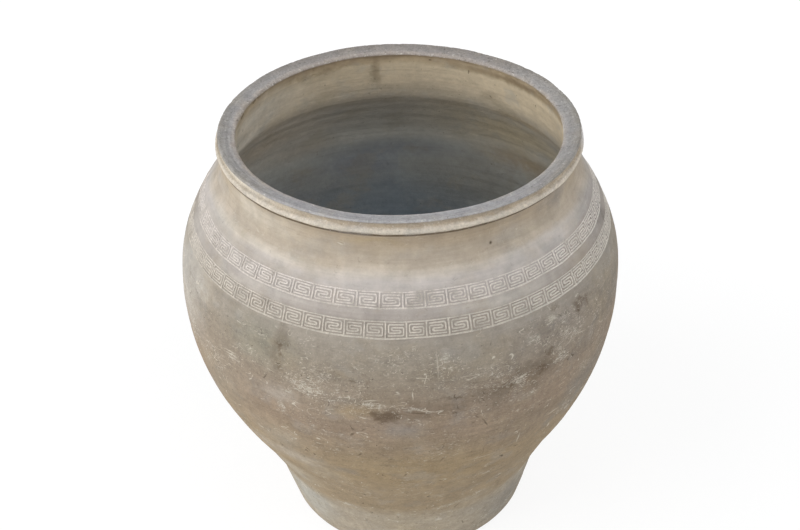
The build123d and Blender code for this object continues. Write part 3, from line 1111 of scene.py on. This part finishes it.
def outside_clay():
    """Weathered clay of the outside: ochre lower wall, grey-brown belly and paler shoulder."""
    clay = ClayNodes("weathered_clay")
    aside = clay.maths("ABSOLUTE", clay.x)
    weathered = clay.ranged(clay.height, *WEATHERED_LEVELS)
    drift = clay.ranged(clay.noise(0.09, 1.6, 1), 0.3, 0.7, -0.006, 0.006)
    drift = clay.times(drift, clay.ranged(clay.height, *CALM_LEVELS))
    clay.colour = clay.tones(clay.plus(clay.height, drift), OUTSIDE_TONES)
    clay.lay_tints(clay.torn(clay.wrap, 0.045, 0.050, 2), OUTSIDE_TINTS)
    frayed = clay.torn(clay.wrap, 0.010, 0.010, 10)
    clay.lay_tints(frayed, CLEAR_TINTS)

    # Mottled and turned clay.
    clay.lay_clouds(OUTSIDE_CLOUDS)
    clay.shade(clay.noise(0.034, 1.5, 5, 5.0), 0.13)
    mottle = clay.noise(0.010, 1.35, 6, 5.0, 0.68)
    clay.shade(clay.calmed(mottle, weathered), 0.16)
    lines = clay.noise(0.11, 36, 7, 4.0, 0.65)
    clay.shade(lines, 0.075)
    clay.shade(clay.noise(0.012, 0.16, 8, 3.0), 0.065)
    grain = clay.noise(0.0026, 1.2, 9, 3.0, 0.65)
    clay.shade(clay.calmed(grain, weathered), 0.13)
    worn_sides = clay.ranged(aside, *WORN_SIDES)
    for band, card, share in BAND_FLOORS:
        above_low = clay.ranged(clay.height, band["low"] - band_edge, band["low"])
        below_high = clay.ranged(clay.height, band["high"] + band_edge, band["high"])
        clay.coat(clay.times(clay.times(above_low, below_high), worn_sides), card, share)

    # Stains, then chalk and chips where the wall is rubbed.
    stains = clay.times(clay.marks(frayed, DARK_STAINS), 0.38)
    stains = clay.ranged(clay.plus(clay.noise(0.009, 1.5, 11, 5.0, 0.65), stains), 0.58, 0.82)
    clay.coat(clay.times(stains, weathered), *dark_stain)
    patches = clay.ranged(clay.noise(0.055, 1.4, 12), 0.35, 0.68, -0.08, 0.07)
    rubbed = clay.marks(frayed, CHALK)
    broken = clay.ranged(clay.noise(0.012, 1.2, 25), 0.40, 0.62)
    clay.coat(clay.times(rubbed, broken), *rubbed_chalk)
    chalk = clay.plus(clay.times(rubbed, 0.15), clay.times(patches, weathered))
    chips = clay.ranged(clay.plus(clay.noise(0.0085, 2.6, 13, 5.0, 0.72), chalk), 0.625, 0.74)
    flakes = clay.ranged(clay.plus(clay.noise(0.0052, 0.75, 20, 4.0, 0.70), chalk), 0.650, 0.76)
    chalk = clay.times(clay.most(chips, flakes), weathered)
    clay.coat(chalk, *chalk_flakes)
    density = clay.plus(clay.times(rubbed, 0.10), clay.times(patches, 0.7))
    for levels in FEWER_CHIPS:
        density = clay.plus(density, clay.ranged(clay.height, *levels))
    chipped = 0.0
    for length, width, turn, draw in CHIP_STROKES:
        stroke = clay.plus(clay.strokes(length, width, turn, draw), density)
        chipped = clay.most(chipped, clay.ranged(stroke, 0.665, 0.745))
    clay.coat(clay.times(chipped, weathered), *pale_chips)
    dust = clay.ranged(clay.noise(0.0023, 1.3, 14, 2.0), 0.635, 0.73)
    clay.coat(clay.times(dust, weathered), *pale_dust)

    # Scratches and cuts, the painted shadow and highlight along the scar, and painted shade with dirt under
    # the rim.
    wavering = clay.torn(clay.wrap, 0.006, 0.0022, 15)
    scratches = clay.times(clay.hairlines(0.050, 2.6, 0.010, 0.58, 16), weathered)
    scratches = clay.most(scratches, clay.times(clay.hairlines(0.034, 0.9, 0.009, 0.61, 17), weathered))
    # The pale cuts include a painted highlight along the scar.
    clay.coat(clay.most(scratches, clay.marks(wavering, PALE_CUTS)), *pale_scratches_and_scar_highlight)
    pits = clay.ranged(clay.noise(0.0040, 1.3, 18, 2.0), 0.70, 0.77)
    nicks = clay.times(clay.most(pits, clay.hairlines(0.026, 0.8, 0.012, 0.63, 19)), weathered)
    # The dark cuts include a painted shadow along the scar.
    cuts = clay.most(nicks, clay.marks(wavering, DARK_CUTS))
    clay.coat(cuts, *cut_dirt_and_scar_shadow)
    # Painted shade, with some dirt, in the crevice under the rim's roll.
    crevice = clay.times(clay.ranged(clay.height, *CREVICE_LEVELS), clay.ranged(aside, *CREVICE_SIDES))
    clay.coat(crevice, *crevice_shade_and_dirt)

    relief = clay.plus(clay.times(mottle, 0.9), clay.times(lines, 0.5))
    relief = clay.plus(relief, clay.plus(clay.times(grain, 0.30), clay.times(chalk, 0.25)))
    relief = clay.plus(relief, clay.times(cuts, -0.7))
    return clay.finish(relief, depth=0.0009, grain=mottle)


# The inside's tones, tints, stains and clouds are written as the outside's are.
# The inside is painted paler than the outside's clay, as light that lifts its shade, and low down its
# blue-grey is partly painted sky-lit shade.
INSIDE_TONES = [
    (0.0, (104, 118, 132)), (0.2, (113, 127, 141)), (0.33, (135, 144, 151)), (0.42, (182, 180, 172)),
    (0.49, (192, 185, 173)), (0.506, (178, 168, 152)), (0.522, (192, 179, 157)), (0.54, (208, 192, 166)),
    (0.564, (208, 192, 165)), (0.573, (186, 168, 140)), (0.578, (174, 155, 128)), (0.583, (152, 134, 110)),
    (0.588, (158, 142, 122)),
]
INSIDE_TINTS = [
    ((206, 186, 146), 0.6, 140, 0.462, 0.22, 0.07), ((204, 188, 166), 0.6, -128, 0.465, 0.2, 0.06),
    ((140, 129, 106), 0.45, 150, 0.35, 0.22, 0.09), ((132, 124, 112), 0.35, -150, 0.35, 0.22, 0.09),
    ((214, 197, 167), 0.45, 125, 0.545, 0.16, 0.03), ((216, 209, 197), 0.7, -116, 0.545, 0.2, 0.045),
    ((136, 117, 91), 0.45, 125, 0.575, 0.16, 0.006), ((138, 119, 94), 0.45, -150, 0.575, 0.12, 0.006),
    ((134, 117, 92), 0.6, -171, 0.556, 0.011, 0.042), ((150, 137, 116), 0.4, 144, 0.53, 0.03, 0.012),
]
CLEAR_INSIDE_TINTS = [
    ((126, 108, 82), 0.8, 130, 0.5705, 0.23, 0.01), ((240, 231, 216), 0.8, -111, 0.514, 0.08, 0.018),
    # The blue-grey tints low at the back are partly painted sky-lit shade.
    ((118, 127, 139), 0.5, -178, 0.398, 0.17, 0.03), ((118, 127, 139), 0.5, 182, 0.398, 0.17, 0.03),
    ((150, 124, 84), 0.58, 136, 0.408, 0.12, 0.028), ((150, 130, 108), 0.3, -147, 0.42, 0.1, 0.025),
    ((112, 124, 146), 0.45, -168, 0.374, 0.09, 0.03), ((176, 150, 108), 0.4, 130, 0.503, 0.09, 0.012),
]
INSIDE_STAINS = [
    (0.5, -171, 0.548, 0.0085, 0.05), (1.0, 166.9, 0.576, 0.004, 0.0032),
    (1.0, 152, 0.565, 0.0035, 0.007, 10), (0.9, 130.6, 0.549, 0.004, 0.005),
    (0.8, 120, 0.552, 0.0034, 0.011, 20), (0.8, -152, 0.545, 0.003, 0.004),
    (0.8, -128, 0.538, 0.0032, 0.004), (0.8, -108, 0.545, 0.005, 0.005), (0.9, -115, 0.58, 0.03, 0.006),
    (0.8, -103, 0.576, 0.016, 0.008), (0.6, 160, 0.54, 0.005, 0.009), (0.6, 143, 0.53, 0.008, 0.006),
    (0.7, -104, 0.525, 0.02, 0.006, 12),
]
INSIDE_CLOUDS = [
    ((160, 148, 124), 0.28, 0.5, 0.68, 0.06, 1.6, 33), ((172, 173, 170), 0.26, 0.52, 0.7, 0.05, 1.4, 34),
]
inside_stain = ((78, 66, 50), 0.62)
inside_specks = ((84, 73, 57), 0.55)


def inside_clay():
    """Clay of the inside, painted paler to lift its shade: tan neck stained under the lip, then olive, and
    below a blue-grey that is partly painted sky-lit shade.
    """
    clay = ClayNodes("inside_clay")
    drift = clay.ranged(clay.noise(0.05, 1.6, 31), 0.3, 0.7, -0.004, 0.004)
    clay.colour = clay.tones(clay.plus(clay.height, drift), INSIDE_TONES)
    clay.lay_tints(clay.torn(clay.wrap, 0.045, 0.050, 32), INSIDE_TINTS)
    frayed = clay.torn(clay.wrap, 0.008, 0.008, 38)
    clay.lay_tints(frayed, CLEAR_INSIDE_TINTS)
    clay.lay_clouds(INSIDE_CLOUDS)
    clay.shade(clay.noise(0.028, 1.5, 35, 5.0), 0.09)
    lines = clay.noise(0.16, 30, 36, 3.0)
    clay.shade(lines, 0.07)
    mottle = clay.noise(0.009, 1.3, 37, 5.0, 0.65)
    clay.shade(mottle, 0.09)
    stains = clay.times(clay.marks(frayed, INSIDE_STAINS), 0.30)
    stains = clay.ranged(clay.plus(clay.noise(0.006, 1.0, 39), stains), 0.62, 0.84)
    clay.coat(stains, *inside_stain)
    specks = clay.ranged(clay.noise(0.0045, 1.0, 40, 2.0), 0.74, 0.80)
    clay.coat(specks, *inside_specks)
    relief = clay.plus(clay.times(lines, 0.6), mottle)
    return clay.finish(relief, depth=0.0008, grain=mottle)


# Rim: tones of its face by height and of its top by radius, tints and clouds.
RIM_SIDE_TONES = [
    # The two darkest tones, at the foot of the roll, are painted shade under it.
    (0.563, (84, 72, 58)), (0.5698, (100, 87, 70)), (0.5712, (184, 172, 155)), (0.5735, (196, 186, 171)),
    (0.578, (195, 185, 171)), (0.5796, (168, 154, 135)), (0.5845, (158, 147, 131)),
    (0.5872, (148, 140, 129)), (0.589, (148, 144, 139)),
]
RIM_TOP_TONES = [
    (0.205, (164, 154, 145)), (0.2085, (172, 164, 158)), (0.212, (163, 159, 157)), (0.216, (155, 152, 150)),
    (0.223, (154, 150, 146)), (0.229, (146, 141, 134)),
]
RIM_TINTS = [
    ((206, 198, 184), 0.9, -58, 0.5825, 0.19, 0.007), ((170, 160, 146), 0.4, 50, 0.583, 0.11, 0.004),
    ((222, 220, 220), 0.8, 86, 0.577, 0.06, 0.01),
]
RIM_CLOUDS = [
    ((168, 158, 144), 0.24, 0.5, 0.68, 0.04, 1.0, 53), ((148, 149, 150), 0.22, 0.52, 0.7, 0.034, 1.0, 54),
]
rim_back = ((130, 121, 115), 0.44)
rim_front_top = ((174, 175, 182), 0.40)
rim_back_edge = ((116, 111, 107), 0.20)
rim_back_lip = ((180, 170, 163), 0.28)
rim_pale_chips = ((218, 213, 206), 0.58)
rim_dark_pits = ((92, 85, 77), 0.60)

# Where parts of the rim begin and are full: top by slope and level, front and back by Y, the rest by radius.
RIM_TOP_SLOPES = (0.05, 0.45)
RIM_TOP_LEVELS = (0.5812, 0.5835)
RIM_FRONT = (-0.12, -0.20)
RIM_BACK = (0.08, 0.20)
RIM_EDGE = (0.2155, 0.2210)
RIM_LIP = (0.2140, 0.2095)

# Where the streaks of the top are clearer, the lip more chipped and the back more pitted, and by how much.
STREAKED_FRONT = (0.02, -0.12, 0.35, 1.0)
CHIPPED_LIP = (0.2140, 0.2085, 0.0, 0.045)
PITTED_BACK = (-0.10, 0.04, 0.0, 0.035)

# Streaks are so many times closer across the top than along it, and its tones waver more than the face's.
STREAK_STRETCH = 13.0
TOP_WAVER = 3.0


def rim_clay():
    """Clay of the rim: pale roll, tan hollow and a grey top streaked along its turning."""
    clay = ClayNodes("rim_clay")
    radius = clay.maths("SQRT", clay.plus(clay.times(clay.x, clay.x), clay.times(clay.y, clay.y)))
    around = clay.vector(clay.x, clay.y, clay.times(radius, STREAK_STRETCH))
    waver = clay.ranged(clay.noise(0.020, 1.0, 51), 0.3, 0.7, -0.0008, 0.0008)
    side = clay.tones(clay.plus(clay.height, waver), RIM_SIDE_TONES)
    clay.colour = clay.tones(clay.plus(radius, clay.times(waver, TOP_WAVER)), RIM_TOP_TONES)
    streaks = clay.noise(0.034, 1.0, 52, 5.0, 0.62, around)
    in_front = clay.ranged(clay.y, *STREAKED_FRONT)
    clay.shade(clay.calmed(streaks, in_front), 0.28)
    normal = clay.add("ShaderNodeNewGeometry").outputs["Normal"]
    upward = clay.ranged(clay.parts(normal)[2], *RIM_TOP_SLOPES)
    on_top = clay.times(upward, clay.ranged(clay.height, *RIM_TOP_LEVELS))
    clay.colour = clay.blend(on_top, side, clay.colour)
    back = clay.ranged(clay.y, *RIM_BACK)
    clay.coat(back, *rim_back)
    clay.coat(clay.times(on_top, clay.ranged(clay.y, *RIM_FRONT)), *rim_front_top)
    clay.coat(clay.times(back, clay.ranged(radius, *RIM_EDGE)), *rim_back_edge)
    clay.coat(clay.times(back, clay.ranged(radius, *RIM_LIP)), *rim_back_lip)
    beside_top = clay.ranged(on_top, 1.0, 0.5)
    for card, share, *place in RIM_TINTS:
        clay.coat(clay.times(clay.mark(clay.wrap, *place), beside_top), card, share)

    clay.lay_clouds(RIM_CLOUDS)
    clay.shade(clay.noise(0.016, 1.0, 55, 5.0), 0.12)
    mottle = clay.noise(0.0055, 1.0, 56, 5.0, 0.7)
    clay.shade(mottle, 0.17)
    grain = clay.noise(0.0022, 1.0, 57, 3.0)
    clay.shade(grain, 0.17)
    chipped = clay.ranged(radius, *CHIPPED_LIP)
    pale = clay.ranged(clay.plus(clay.noise(0.0042, 1.0, 58, 3.0, 0.65), chipped), 0.62, 0.73)
    clay.coat(pale, *rim_pale_chips)
    pitted = clay.ranged(clay.y, *PITTED_BACK)
    dark = clay.ranged(clay.plus(clay.noise(0.0046, 1.0, 59, 3.0, 0.65), pitted), 0.63, 0.75)
    clay.coat(dark, *rim_dark_pits)
    relief = clay.plus(clay.plus(mottle, clay.times(grain, 0.4)), clay.times(dark, -0.4))
    return clay.finish(relief, depth=0.0008, grain=mottle)


# Tones of the fret lines by height, their darker clouds, and how and where they pale to the right.
FRET_TONES = [
    (0.455, (188, 180, 168)), (0.478, (198, 190, 180)), (0.488, (200, 192, 184)), (0.508, (208, 200, 194)),
]
FRET_CLOUDS = [((162, 154, 144), 0.62, 0.45, 0.66, 0.020, 1.0, 71)]
fret_right = ((216, 210, 202), 0.45)
FRET_RIGHT_REACH = (0.07, 0.21)


def fret_clay():
    """Rubbed clay of the fret lines, paler than the wall they stand on."""
    clay = ClayNodes("fret_clay")
    clay.colour = clay.tones(clay.height, FRET_TONES)
    clay.lay_clouds(FRET_CLOUDS)
    clay.coat(clay.ranged(clay.x, *FRET_RIGHT_REACH), *fret_right)
    grain = clay.noise(0.0050, 1.0, 72, 5.0, 0.7)
    clay.shade(grain, 0.20)
    clay.shade(clay.noise(0.0022, 1.0, 73, 3.0), 0.18)
    return clay.finish(grain, depth=0.0005, grain=grain)


def build_jar():
    """All pieces of the jar, from the slab up to the rim and the fret lines."""
    outside = outside_clay()
    inside = inside_clay()
    rim = rim_clay()
    wall = [outside, inside]
    ring_piece("base_slab_clay", "base_slab", slab_section(), wall)
    ring_piece("foot_ring_clay", "foot_ring", foot_section(), wall)
    slots = ["brown_clay", "brown_clay", "brown_clay", "pale_clay", "pale_clay"]
    for name, below, slot in zip(RINGS[1:], RINGS, slots):
        section = wall_section(name, joint_outside[below], joint_inside[below])
        ring_piece(name + "_clay", name, section, wall)
    ring_piece("rim_coil_clay", "rim_coil", rim_section(), [rim, inside], rim=True)
    lines = fret_clay()
    fret_band("fret_lines_upper", UPPER_BAND, lines)
    fret_band("fret_lines_lower", LOWER_BAND, lines)


WHITE = (1.0, 1.0, 1.0, 1.0)
FLOOR_REACH = 6.0
FLOOR_WHITE = (0.98, 0.98, 0.98, 1.0)
FLOOR_GLOW = 1.055

# The floor glows white: distances between which its shadow fades, and its share of glow at each.
FLOOR_FADE = (0.5, 1.6, 0.80, 1.0)


def white_floor():
    """White that glows to the eye, a little less near the jar, so that a shadow stays."""
    material = bpy.data.materials.new("white_floor")
    nodes = NodeMaker(material)
    matt = nodes.fill(nodes.add("ShaderNodeBsdfDiffuse"), Color=FLOOR_WHITE)[0]
    glow = nodes.fill(nodes.add("ShaderNodeEmission"), Color=WHITE, Strength=FLOOR_GLOW)[0]
    place = nodes.add("ShaderNodeTexCoord").outputs["Object"]
    away = nodes.fill(nodes.add("ShaderNodeVectorMath", operation="LENGTH"), Vector=place)["Value"]
    fade = nodes.ranged(away, *FLOOR_FADE, soft=False)
    nodes.mixed_surface("ShaderNodeOutputMaterial", nodes.times(nodes.direct_rays(), fade), matt, glow)
    return material


def build_floor():
    """Plain white floor that keeps a faint shadow."""
    bm = bmesh.new()
    bmesh.ops.create_grid(bm, x_segments=1, y_segments=1, size=FLOOR_REACH)
    mesh = bpy.data.meshes.new("floor")
    bm.to_mesh(mesh)
    bm.free()
    mesh.materials.append(white_floor())
    floor = bpy.data.objects.new("floor", mesh)
    bpy.context.scene.collection.objects.link(floor)


SKY_STRENGTH = 0.37
SKY_COLOUR = (0.95, 0.98, 1.0, 1.0)

# Broad lamps by name: power, width, place and aim.
LAMPS = {
    "left_lamp": (100.0, 3.0, (-2.9, -1.2, 1.9), (0.0, 0.0, 0.4)),
    "right_lamp": (40.0, 2.4, (2.6, -1.2, 2.2), (0.0, 0.0, 0.4)),
    "front_lamp": (12.0, 2.4, (0.0, -2.6, 3.0), (0.0, 0.0, 0.4)),
    "back_lamp": (10.0, 2.4, (0.0, 2.2, 3.0), (0.0, 0.0, 0.4)),
}

# A soft lamp over the camera shines into the mouth.
mouth_lamp_power = 28.0
mouth_lamp_width = 0.5
mouth_lamp_cone = math.radians(17)
mouth_lamp_place = Vector((0.1, -1.3, 1.75))
mouth_lamp_aim = Vector((0.0, 0.06, 0.55))


def place_lamp(data, place, aim):
    """Stands a lamp at a place, turned towards its aim."""
    lamp = bpy.data.objects.new(data.name, data)
    lamp.location = place
    lamp.rotation_euler = (Vector(aim) - Vector(place)).to_track_quat("-Z", "Y").to_euler()
    bpy.context.scene.collection.objects.link(lamp)


def build_light():
    """Soft pale sky, broad lamps to the sides and a small one into the mouth."""
    world = bpy.data.worlds.new("soft_sky")
    bpy.context.scene.world = world
    nodes = NodeMaker(world)
    sky = nodes.fill(nodes.add("ShaderNodeBackground"), Color=SKY_COLOUR, Strength=SKY_STRENGTH)[0]
    white = nodes.fill(nodes.add("ShaderNodeBackground"), Color=WHITE)[0]
    nodes.mixed_surface("ShaderNodeOutputWorld", nodes.direct_rays(), sky, white)

    for name, (power, width, place, aim) in LAMPS.items():
        broad = bpy.data.lights.new(name, "AREA")
        broad.energy = power
        broad.size = width
        place_lamp(broad, place, aim)
    narrow = bpy.data.lights.new("mouth_lamp", "SPOT")
    narrow.energy = mouth_lamp_power
    narrow.spot_size = mouth_lamp_cone
    narrow.spot_blend = 1.0
    narrow.shadow_soft_size = mouth_lamp_width / 2
    place_lamp(narrow, mouth_lamp_place, mouth_lamp_aim)


# Camera: lens and stand found from the outline of rim, bands and body.
LENS = 58.5
SENSOR_WIDTH = 36.0
CAMERA_PLACE = Vector((-0.0004, -1.4472, 1.3781))
CAMERA_DROP = math.radians(34.8686)
CAMERA_ROLL = math.radians(-1.08)


def build_camera():
    """Camera at the photograph's angle, rolled a little to one side."""
    data = bpy.data.cameras.new("camera")
    data.lens = LENS
    data.sensor_width = SENSOR_WIDTH
    camera = bpy.data.objects.new("camera", data)
    look = Vector((0.0, math.cos(CAMERA_DROP), -math.sin(CAMERA_DROP)))
    turn = look.to_track_quat("-Z", "Y").to_matrix() @ Matrix.Rotation(CAMERA_ROLL, 3, "Z")
    camera.matrix_world = Matrix.Translation(CAMERA_PLACE) @ turn.to_4x4()
    bpy.context.scene.collection.objects.link(camera)
    bpy.context.scene.camera = camera


build_jar()
build_floor()
build_light()
build_camera()
bpy.context.scene.view_settings.view_transform = "Standard"
